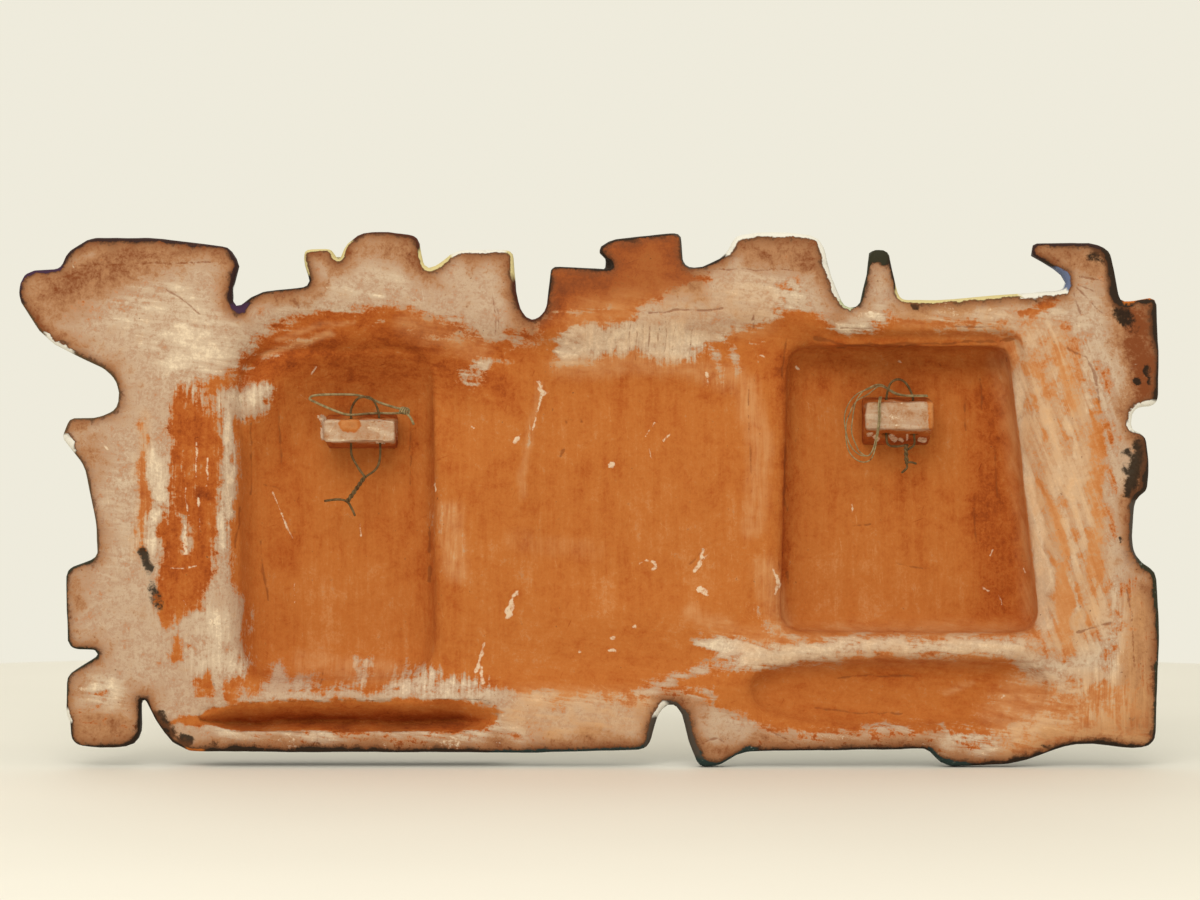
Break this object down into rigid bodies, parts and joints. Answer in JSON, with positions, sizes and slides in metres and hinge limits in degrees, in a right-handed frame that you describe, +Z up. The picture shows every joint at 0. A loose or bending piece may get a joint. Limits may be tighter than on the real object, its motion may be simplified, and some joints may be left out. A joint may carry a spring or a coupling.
{
  "type": "ceramic wall panel",
  "caption": "Irregular hand-built ceramic wall relief with a hollowed, slip-washed back and wired hanging lugs.",
  "frame": {"origin": "on the flat back rim, under the middle of the top edge, where the back rests against the wall", "axes": "+Y out of the back towards the wall, the glazed front faces -Y, +Z up, X along the panel"},
  "size_m": [0.5712, 0.046, 0.2682],
  "materials": {
    "clay_body": "bare orange earthenware with brushed cream slip on the back rim and coloured glazes on the edges and front",
    "lug_clay": "matt earthenware with a thin cream slip wash",
    "dark_wire": "dark rusted iron wire",
    "grey_wire": "dull grey oxidised iron wire"
  },
  "bodies": {
    "root": {"relief_panel": "clay_body", "hanging_lug_left": "lug_clay", "hanging_lug_right": "lug_clay", "lug_wire_left": "dark_wire", "lug_wire_right": "dark_wire", "hanging_loop_left": "grey_wire", "hanging_loop_right": "grey_wire"}
  },
  "joints": []
}
